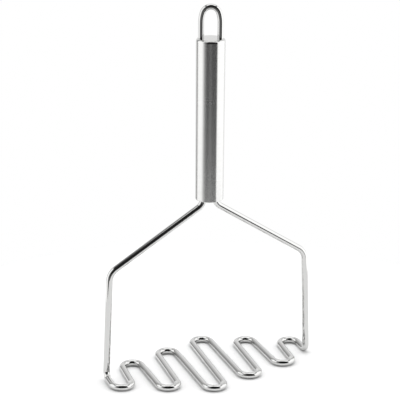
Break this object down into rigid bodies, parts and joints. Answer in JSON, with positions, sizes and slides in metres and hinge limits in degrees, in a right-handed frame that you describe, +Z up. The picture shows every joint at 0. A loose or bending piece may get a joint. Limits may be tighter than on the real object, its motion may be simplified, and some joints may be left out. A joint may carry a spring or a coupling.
{
  "type": "potato masher",
  "caption": "Potato masher with a flat zigzag wire head on uprights that meet in a slim hollow steel handle with a wire hanging loop.",
  "frame": {"origin": "middle of the mashing head, on the surface that the head rests on", "axes": "+Z up along the handle, X along the head from upright to upright, Y along the legs of the zigzag, -Y to the front"},
  "size_m": [0.1514, 0.0866, 0.2573],
  "materials": {
    "polished_rod": "bright polished stainless rod",
    "satin_tube": "satin, ground round the tube in fine lines",
    "cap_steel": "polished pressed cap",
    "loop_wire": "bright polished stainless wire"
  },
  "bodies": {
    "root": {"mashing_rod": "polished_rod", "handle_tube": "satin_tube", "lower_end_cap": "cap_steel", "upper_end_cap": "cap_steel", "hanging_loop": "loop_wire"}
  },
  "joints": []
}
